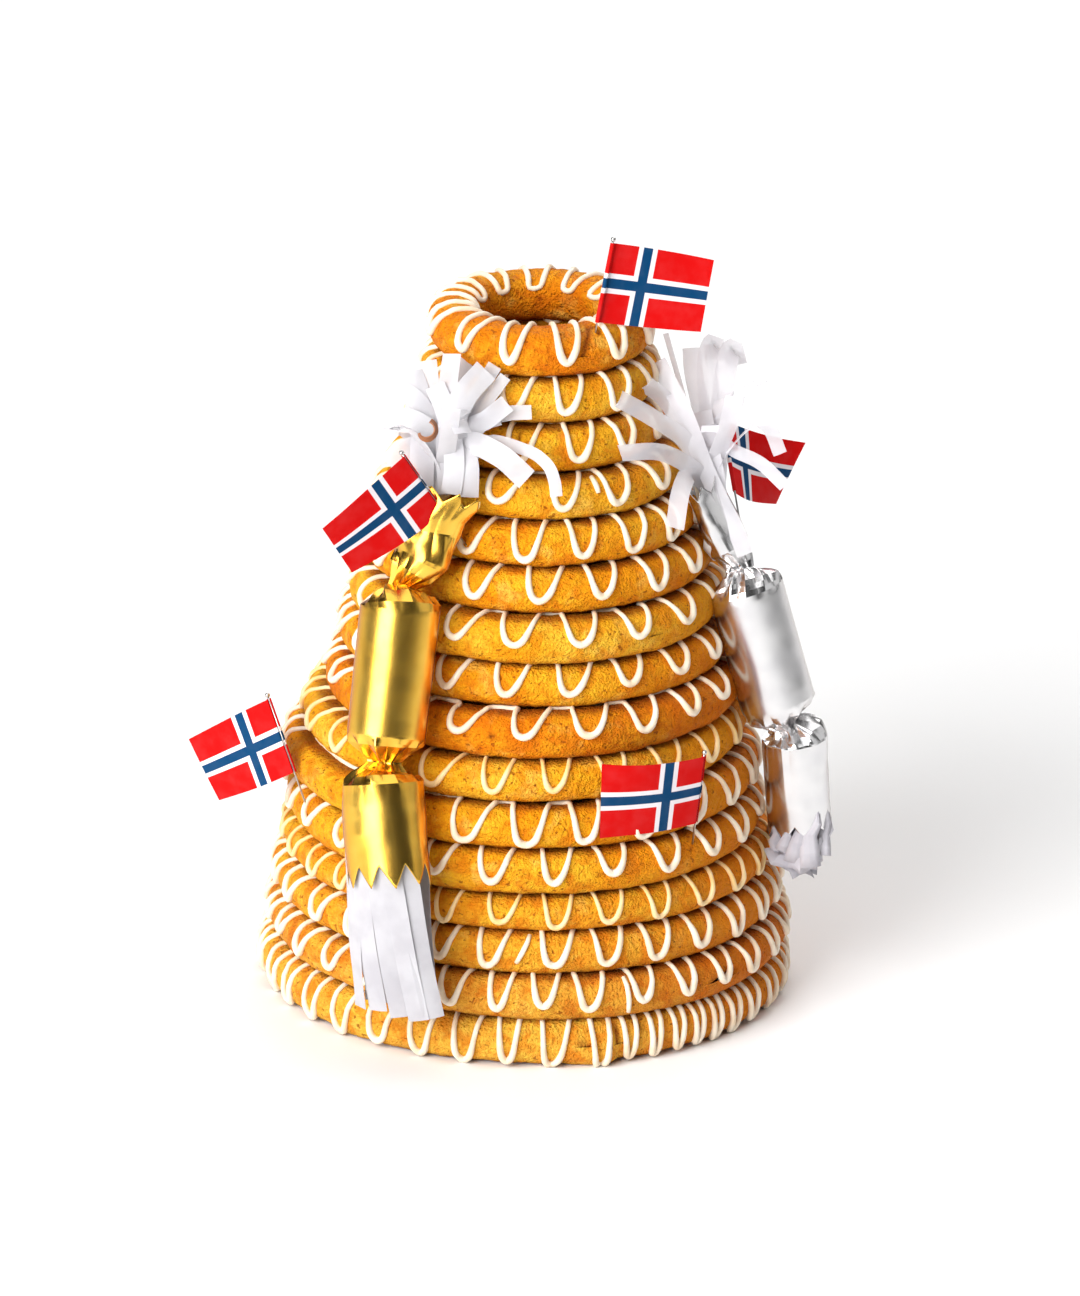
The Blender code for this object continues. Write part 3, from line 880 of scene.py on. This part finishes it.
FOIL_COLUMNS, FOIL_ROW = 176, 0.7 * MM      # points round the tube, and spacing down it
BROAD_CELLS, BROAD_CELL = 7, 12 * MM        # large folds round the tube, and their length
CRUSH_CELLS, CRUSH_CELL = 18, 5.5 * MM      # the same of the crumpling
FINE_PLEATS = 22
FLARE = 60 * MM                 # the mouth's points widen as they leave it
FOIL_THICK = 0.14 * MM
# A corner of the silver foil that stands out beside its neck: its middle and then its rim,
# in mm from the tower's axis.
FLAP = ((67.3, -24.5, 182.6), (63.4, -20, 187.2), (66.6, -23.4, 184.8), (69.4, -21.5, 188.5),
        (71.8, -19, 181.7), (75.8, -18, 173.4), (70, -22, 175.6), (67, -20.8, 175.2),
        (63.2, -21.5, 179.9))
FOIL_CREASE = math.radians(9)   # folds sharper than this are crisp
TOOTH_ROWS = 8                  # rows of points that the teeth take up
TOOTH_DEPTHS = (0, 0.12), (0.8, 1.15)       # of a valley and of a point, by chance
print("stations of foil:", {name: len(stations) for name, stations in FOILS.items()})

# %% Folds, crumples and teeth
def unit_rows(ways):
    return ways / np.linalg.norm(ways, axis=1)[:, None]


def folds(turn, count, seed):
    """A fan of straight folds round a tube: 1 on the crests and -1 in the valleys."""
    draw = random.Random(seed)
    ridges = [(k + draw.uniform(-0.3, 0.3)) * math.tau / count for k in range(count)]
    heights = [(1 if k % 2 else -1) * draw.uniform(0.55, 1.0) for k in range(count)]
    return np.interp(turn, ridges, heights, period=math.tau)


def crumples(across, along, cells, seed):
    """A crumpled surface of flat facets: random heights on a skewed net, joined straight."""
    draw = np.random.default_rng(seed)
    heights = draw.uniform(-1, 1, (cells[1] + 2, cells[0]))
    v = np.clip(along, 0, 1) * cells[1]
    u = (across * cells[0] + 0.5 * np.floor(v)) % cells[0]
    row = np.floor(v).astype(int)

    def height(row, u):
        cell = np.floor(u).astype(int)
        return (heights[row, cell] * (1 - u + cell)
                + heights[row, (cell + 1) % cells[0]] * (u - cell))

    return height(row, u) * (1 - v + row) + height(row + 1, (u + 0.5) % cells[0]) * (v - row)


def saw(turn, teeth, seed):
    """Depth of a saw-toothed edge round a tube, 0 in the valleys and about 1 at the points."""
    draw = random.Random(seed)
    spots = [(k + draw.uniform(-0.12, 0.12)) * math.pi / teeth for k in range(2 * teeth)]
    depths = [draw.uniform(*TOOTH_DEPTHS[k % 2]) for k in range(2 * teeth)]
    return np.interp(turn, spots, depths, period=math.tau)


# %% Roll a foil tube
def foil_tube(name, teeth, tooth, seed):
    """A rolled foil wrapper: teeth are the numbers at the mouth and at the lower end, and
    tooth their lengths in mm."""
    stations = np.array(FOILS[name])
    centres = stations[:, :3] * MM
    down = np.cumsum([0, *np.linalg.norm(np.diff(centres, axis=0), axis=1)])
    rows = round(down[-1] / FOIL_ROW)
    bm, across, along = flat_sheet(FOIL_COLUMNS, rows)
    turn = across * math.tau
    first, last = (saw(turn, teeth[k], seed + k) * tooth[k] * MM for k in (0, 1))
    near = np.clip(1 - along * rows / TOOTH_ROWS, 0, 1)
    far = np.clip(1 - (1 - along) * rows / TOOTH_ROWS, 0, 1)
    place = along * down[-1] - first * near + last * far
    inside = np.clip(place, 0, down[-1])
    tangents = np.gradient(centres, axis=0) / np.gradient(down)[:, None]
    centre, tangent = (np.stack([np.interp(inside, down, table[:, k]) for k in range(3)],
                                axis=1) for table in (centres, tangents))
    tangent = unit_rows(tangent)
    centre += tangent * (place - inside)[:, None]
    side = unit_rows(np.cross(tangent, centre * (1, 1, 0)))
    outward = np.cross(side, tangent)
    wide, deep, broad, fine, crush = (np.interp(inside, down, stations[:, k])
                                      for k in range(3, 8))
    panels = crumples(across, along, (BROAD_CELLS, round(down[-1] / BROAD_CELL)), seed + 5)
    size = 1 + broad * panels + fine * folds(turn, FINE_PLEATS, seed + 9)
    rough = crumples(across, along, (CRUSH_CELLS, round(down[-1] / CRUSH_CELL)), seed)
    rough *= crush * MM
    flare = 1 + np.where(place < 0, -place / FLARE, 0)
    width = side * ((wide * MM * size * flare + rough) * np.cos(turn))[:, None]
    depth = outward * ((deep * MM * size * flare + rough) * np.sin(turn))[:, None]
    move_points(bm, centre + width + depth + np.array(AXIS))
    close_seams(bm)
    face = max(bm.faces, key=lambda f: f.calc_center_median().y)
    if face.normal.y < 0:
        bmesh.ops.reverse_faces(bm, faces=bm.faces[:])
    return bm


def add_flap(bm):
    """The foil corner, as a fan of flat folded facets round its middle."""
    middle, *rim = [bm.verts.new(AXIS + Vector(point) * MM) for point in FLAP]
    faces = [bm.faces.new((middle, a, b)) for a, b in zip(rim, [*rim[1:], rim[0]])]
    if faces[0].normal.y > 0:
        bmesh.ops.reverse_faces(bm, faces=faces)


# %% Foil and crackers
def foil_material(name, tint, shade, edge, roughness):
    """Metal foil; edge is its tint where it is seen at a slant."""
    return clouded_material(name, tint, shade, (9.0, 3.0, 0.3, 0.7), (0.8, 2.0, 0.10, 0.12), {
        "Metallic": 1.0, "Roughness": roughness, "Specular Tint": edge, "Coat Weight": 0.7,
        "Coat Roughness": 0.30})


def back_material(name, tint):
    """Bare paper or card, as on the back of the foil."""
    return clouded_material(name, tint, tuple(0.85 * c for c in tint), (3.0, 3.0), (),
                            {"Roughness": 0.6})


def wrap_cracker(name, teeth, tooth, seed, shiny, back):
    bm = foil_tube(name, teeth, tooth, seed)
    if name == "silver":
        add_flap(bm)
    piece = finish_mesh(bm, name + "_foil", shiny, [name + "_wrapper"])
    piece.data.materials.append(back)
    piece.data.set_sharp_from_angle(angle=FOIL_CREASE)
    thicken(piece, FOIL_THICK, -1.0).material_offset = 1


gold = foil_material("gold_foil", (0.95, 0.57, 0.065), (0.90, 0.50, 0.040),
                     (0.50, 0.20, 0.01), 0.27)
silver = foil_material("silver_foil", (0.82, 0.81, 0.81), (0.74, 0.73, 0.74),
                       (0.72, 0.68, 0.66), 0.26)
wrap_cracker("gold", (9, 10), (5.5, 8.5), 35, gold,
             back_material("gold_paper", (0.90, 0.62, 0.20)))
wrap_cracker("silver", (7, 8), (6.0, 7.0), 41, silver,
             back_material("silver_paper", (0.80, 0.78, 0.77)))
print("crackers:", *FOILS)

# %% [markdown]
# ## Tissue
# Strips of thin white tissue are tucked into both ends of a cracker. They are cut from a folded
# sheet, so they are flat with square ends, and they spring out of the mouth in arcs
# and fall over. Each strip here is a narrow grid bent along its own smooth path and
# slightly cupped across. The strips of one burst are one piece, thickened by Solidify.

# %% Strips of the bursts
TISSUE_THICK = 0.12 * MM
# Strips of each burst: width (mm), then the points it passes, each given as right, up and
# towards the viewer (mm) from the middle of the mouth.
BURSTS = {
    "gold": ((-34.3, -50.5, 209.3), (
        (8, (-4, 0, -2), (-6, 20, 0), (-12, 36, 0), (-16, 46, -2)),
        (8, (0, 0, -3), (0, 24, -2), (6, 42, -3), (9, 52, -5)),
        (9, (-2, 0, 0), (-3, 18, 4), (-6, 36, 5), (-8, 49, 3)),
        (9, (-5, 0, 2), (-6, 14, 6), (-13, 16, 8), (-20, 10, 8)),
        (9, (-3, 0, 0), (-8, 18, 3), (-17, 26, 4), (-26, 17, 3), (-30, 9, 1)),
        (5.5, (5, 0, 3), (12, 25, 8), (22, 30, 9), (32, 31, 9)),
        (4.5, (5, 0, 2), (7, 24, 8), (15, 34, 9), (22, 44, 8)),
        (5.5, (4, 0, 2), (6, 24, 8), (12, 37, 9), (18, 48, 8)),
        (6.5, (-2, 0, 2), (-3, 20, 6), (-9, 33, 8), (-17, 39, 7)),
        (9, (-3, 0, 3), (-3, 18, 9), (-11, 26, 11), (-22, 27, 9)),
        (7, (2, 0, 3), (4, 18, 9), (1, 37, 9), (2, 52, 5)),
        (4.5, (6, 0, 3), (14, 19, 9), (30, 17, 13), (38, 12, 14), (41, 6, 15), (42, 0, 15)),
        (9, (-8, 2, 5), (-8, 12, 9), (-8, 24, 9), (-10, 36, 7), (-13, 45, 5)),
        (6.5, (10, -1, 7), (10, 9, 12), (9, 18, 12), (13, 26, 12), (20, 29, 11)),
        (7, (4, 0, 4), (8, 22, 11), (16, 28, 13), (23, 34, 12)),
        (7.5, (3, 0, 8), (4, 10, 13), (3, 20, 13), (0, 31, 11), (-4, 40, 9)),
        (8.5, (5, 0, 5), (8, 18, 12), (20, 15, 16), (31, 6, 15)),
        (9.5, (3, 0, 4), (2, 22, 13), (7, 36, 15), (15, 46, 12)),
    )),
    "silver": ((66, -9, 200), (
        (6.5, (13, -25, 6), (9, -16, 9), (3, -5, 9), (-3, 7, 9), (-12, 28, 18), (-22, 46, 15)),
        (2, (0, 0, 0), (-6, 15, 4), (-14, 41, 3), (-19, 57, 1)),
        (6.5, (0, 0, 0), (-8, 16, 10), (-18, 31, 16), (-26, 37, 28)),
        (6.5, (0, 0, 2), (-10, 16, 14), (-22, 24, 29), (-36, 31, 46)),
        (6.5, (0, 0, 2), (-10, 8, 16), (-21, 12, 34), (-35, 11, 47)),
        (7, (-1, 0, 3), (-8, 5, 13), (-12, -2, 24), (-14, -16, 33)),
        (7, (-1, 0, 0), (-3, 20, 2), (-8, 42, -2), (-9, 52, -6)),
        (8, (0, 0, 0), (-1, 22, 2), (-3, 45, 0), (-1, 54, -6), (0, 48, -11)),
        (8, (1, 0, 0), (2, 22, 2), (4, 44, 0), (6, 52, -4), (8, 46, -9)),
        (2.2, (2, 0, 0), (4, 22, 3), (9, 35, 2), (19, 41, 0)),
        (3.6, (2, 0, 0), (4, 22, 4), (9, 34, 4), (16, 36, 3), (24, 33, 2)),
        (5.2, (1, 0, 2), (1, 22, 4), (10, 27, 5), (20, 23, 4), (25, 13, 2)),
        (5, (1, 0, 2), (1, 16, 6), (9, 13, 8), (18, 9, 6), (27, 1, 4)),
        (8, (2, -6, 3), (0, 6, 7), (-3, 18, 8), (-5, 28, 4)),
    )),
}
STRAYS = {"gold": 5, "silver": 5}        # shorter strips behind, which fill the bunch
STRAY_SEED = 5
STRIP_STEPS, STRIP_COLUMNS = 7, 4       # between two of its points, and across it
TWIST, RIPPLE = math.radians(16), 0.35 * MM
RIPPLES = (5, 9), (2, 5), (0, 6)        # along a strip, across it, and where they start
print("strips:", {name: len(strips) for name, (mouth, strips) in BURSTS.items()})

# %% Bend a strip
def smooth_path(points, steps):
    """A smooth path through points, with both ends."""
    points = [np.array(point, float) for point in points]
    knots = [2 * points[0] - points[1], *points, 2 * points[-1] - points[-2]]
    return np.array(spline(knots, steps) + [points[-1]])


def seen(right, up, out):
    """An offset to the right, up and towards the viewer, given in mm."""
    return (Vector((right, 0, 0)) + VIEW_UP * up + VIEW_OUT * out) * MM


def seen_path(centre, points):
    return smooth_path([centre + seen(*point) for point in points], STRIP_STEPS)


def add_strip(bm, path, width, facing, draw, cup=0.03, tip=0.0):
    """Adds a strip along a path to a bmesh. facing is the way its flat side looks, draw
    gives its own twist and ripples, and tip is the share of its width it loses on the way."""
    piece, across, along = flat_sheet(STRIP_COLUMNS, len(path) - 1)
    row = np.round(along * (len(path) - 1)).astype(int)
    tangent = unit_rows(np.gradient(path, axis=0))
    side = unit_rows(np.cross(tangent, np.array(facing)))
    face = np.cross(side, tangent)
    twist = (draw.uniform(-TWIST, TWIST) * along)[:, None]
    side, face = (side[row] * np.cos(twist) + face[row] * np.sin(twist),
                  face[row] * np.cos(twist) - side[row] * np.sin(twist))
    off = (across - 0.5) * width * (1 - tip * along ** 2)
    hollow = (np.abs(across - 0.5) * 2) ** 2 * cup * width
    waves, skew, start = (draw.uniform(*span) for span in RIPPLES)
    hollow += RIPPLE * np.sin(along * waves + across * skew + start) * along
    move_points(piece, path[row] + side * off[:, None] - face * hollow[:, None])
    add_mesh(bm, piece)


# %% Tissue bursts
def tissue_material(name, light, dark, alpha):
    return clouded_material(name, light, dark, (12.0, 3.0, 0.35, 0.7), (1.4, 4.0, 0.15, 0.25),
                            {"Roughness": 0.8, "Specular IOR Level": 0.1, "Alpha": alpha})


def finish_tissue(bm, cracker, end, material):
    """The tissue at one end of a cracker, as a piece in the place of its CAD node."""
    piece = finish_mesh(bm, f"{cracker}_tissue_{end}", material, [f"{cracker}_{end}"])
    thicken(piece, TISSUE_THICK)
    return piece


def burst(name, material):
    """The strips out of a cracker's mouth: those in BURSTS, then short ones behind them."""
    mouth, strips = BURSTS[name]
    centre = AXIS + Vector(mouth) * MM
    draw = random.Random(STRAY_SEED)
    bm = bmesh.new()
    outward = Vector((mouth[0], mouth[1], 0)).normalized()
    for width, *points in strips:
        add_strip(bm, seen_path(centre, points), width * MM, VIEW_OUT, draw)
    for _ in range(STRAYS[name]):
        turn = draw.uniform(0, math.tau)
        sway = Vector((math.cos(turn), math.sin(turn), 0)) + outward * 0.8
        rise = ((0, 0), (14, 3), (draw.uniform(26, 33), 9),
                (draw.uniform(24, 42), draw.uniform(14, 19)))
        path = smooth_path([centre + (Vector((0, 0, up)) + sway * out) * MM
                            for up, out in rise], STRIP_STEPS)
        add_strip(bm, path, draw.uniform(6, 8) * MM, sway, draw)
    finish_tissue(bm, name, "burst", material)


CURL_TURN = math.radians(70), math.radians(-160)
CURL_RADIUS, CURL_TIGHTER = 3.9 * MM, 0.75      # at its start, and the share of it at its end
CURL_WIDE, CARD = 3.2 * MM, 0.5 * MM
CURL_PLACE = (-6.5, 23.0, 21.0)         # right, up and towards the viewer from the mouth


def card_curl():
    """The torn end of the gold cracker's snap, a strip of brown card that has rolled up."""
    middle = AXIS + Vector(BURSTS["gold"][0]) * MM + seen(*CURL_PLACE)
    turn = np.linspace(*CURL_TURN, 24)
    way = np.outer(np.cos(turn), (1, 0, 0)) + np.outer(np.sin(turn), VIEW_UP)
    radius = (CURL_RADIUS * np.linspace(1, CURL_TIGHTER, len(turn)))[:, None]
    bm = bmesh.new()
    add_strip(bm, np.array(middle) + way * radius, CURL_WIDE, way + np.array(VIEW_OUT) * 0.5,
              random.Random(STRAY_SEED), cup=0.0)
    thicken(finish_mesh(bm, "card_curl", back_material("brown_card", (0.34, 0.13, 0.05))), CARD)


# One white tissue in copies of different tone: the silver burst stands in shade, so its copy is
# painted lighter.
burst("gold", tissue_material("white_tissue", (0.78, 0.77, 0.795), (0.71, 0.695, 0.73), 0.58))
burst("silver", tissue_material("tissue_painted_lighter", (0.90, 0.88, 0.91), (0.84, 0.82, 0.86), 0.52))
card_curl()

# %% [markdown]
# ## Tissue fringes
# At the lower end the tissue hangs out of the foil's teeth as a fringe. On the gold cracker
# it hangs straight, slit into broad strips that lie nearly edge to edge. On the silver
# one it is crumpled into a small tuft, and a few torn, pointed strips stand up over the
# foil. A strip's path that is bent at random every few points makes it look crumpled.

# %% Shape of the fringes
# The gold fringe: centre, half width and half depth (mm from the tower's axis) where it
# leaves the foil, half way and at its end; then the strips' width, sway and shortest length.
FRINGE = (((-51.3, -95, 84, 14.4, 12.6), (-48.2, -102.8, 51, 16.4, 8),
           (-45.2, -106, 25, 18.6, 5)), 8, 0.7, 0.96)
FRONT_STRIPS = (-0.82, -0.44, 0.14, 0.48, 0.82)     # shares of the half width,
BACK_STRIPS = (-0.66, -0.44, 0.26, 0.62)            # on the outer and the inner side
# The silver tuft: its middle (mm from the tower's axis), then each strip's width and its
# points, given as right, up and towards the viewer (mm), and last the pointed strips that
# stand up over the foil.
TUFT = ((104.4, -18.8, 63), (
    (8, (-8, 11, -6), (-9, 2, -8), (-6, -6, -7), (0, -12, -3)),
    (8, (0, 12, -8), (0, 2, -10), (0, -6, -8), (1, -12, -3)),
    (8, (5, 12, -6), (6, 3, -8), (4, -5, -7), (1, -12, -3)),
    (7.5, (-8, 9, 6), (-9, 2, 8), (-7, -6, 8), (-1, -12, 6)),
    (7.5, (-3, 10, 8), (-4, 3, 10), (-3, -5, 10), (0, -12, 7)),
    (7.5, (3, 11, 8), (3, 3, 10), (2, -5, 10), (1, -12, 7)),
    (6, (7, 11, 6), (7, 4, 8), (5, -4, 8), (2, -11, 6)),
    (6, (-12, -4, 9), (-6, -8, 12), (1, -9, 13), (5, -6, 12), (8, 1, 9)),
), (
    (7.5, (-8, -6, 10), (-7, 0, 12), (-6, 8, 12)),
    (8, (-3, -9, 12), (-2, 0, 14), (0, 12, 13)),
    (8, (2, -9, 12), (3, 3, 14), (5, 15, 12)),
    (7, (6, -5, 10), (8, 5, 11), (9, 17, 9)),
))
FRINGE_STEPS = 9
STRIP_TURN = math.radians(40)   # how far the outermost strips turn away
CRUMPLE = 1.3 * MM              # how far the strips of the tuft are bent
SPIKE_TIP = 0.9                 # share of its width that a pointed strip loses
print("strips of the tuft:", sum(len(strips) for strips in TUFT[1:]))

# %% Fringes
def fringe(material):
    stations, width, sway, shortest = FRINGE
    draw = random.Random(STRAY_SEED + 1)
    bm = bmesh.new()
    for share, front in [(u, 1) for u in FRONT_STRIPS] + [(u, -1) for u in BACK_STRIPS]:
        share += draw.uniform(-0.03, 0.03)
        length = draw.uniform(shortest, 1.02)
        path = []
        for k, (x, y, z, wide, deep) in enumerate(stations):
            outward = Vector((x, y, 0)).normalized()
            side = Vector((-outward.y, outward.x, 0))
            drop = z if k < 2 else stations[1][2] + (z - stations[1][2]) * length
            off = share * wide + draw.uniform(-sway, sway) * k
            out = front * math.sqrt(1 - share * share) * deep + draw.uniform(-0.3, 0.3) * sway
            path.append(AXIS + (Vector((x, y, drop)) + side * off + outward * out) * MM)
        turn = STRIP_TURN * share
        facing = outward * front * math.cos(turn) + side * math.sin(turn)
        add_strip(bm, smooth_path(path, FRINGE_STEPS), width * MM, facing, draw, cup=0.02)
    finish_tissue(bm, "gold", "fringe", material)


def tuft(material):
    """The crumpled bunch of strips: each path is bent sharply here and there."""
    middle, bands, spikes = TUFT
    draw = random.Random(STRAY_SEED + 2)
    bm = bmesh.new()
    for tip, strips in ((0.0, bands), (SPIKE_TIP, spikes)):
        for width, *points in strips:
            facing = VIEW_OUT + Vector((draw.uniform(-0.6, 0.6), 0, draw.uniform(-0.6, 0.4)))
            path = seen_path(AXIS + Vector(middle) * MM, points)[::STRIP_STEPS // 2]
            path += np.array([[draw.uniform(-CRUMPLE, CRUMPLE) for _ in range(3)]
                              for _ in path])
            add_strip(bm, path, width * MM, facing, draw, cup=0.12, tip=tip)
    piece = finish_tissue(bm, "silver", "fringe", material)
    piece.data.set_sharp_from_angle(angle=FOIL_CREASE)


# Painted shade: the fringe, which faces the key light, and the tuft get darker copies of the
# same white tissue.
fringe(tissue_material("fringe_tissue_painted_darker", (0.57, 0.56, 0.585), (0.49, 0.475, 0.505), 0.88))
tuft(tissue_material("tuft_tissue_painted_darker", (0.60, 0.58, 0.62), (0.48, 0.46, 0.51), 0.92))
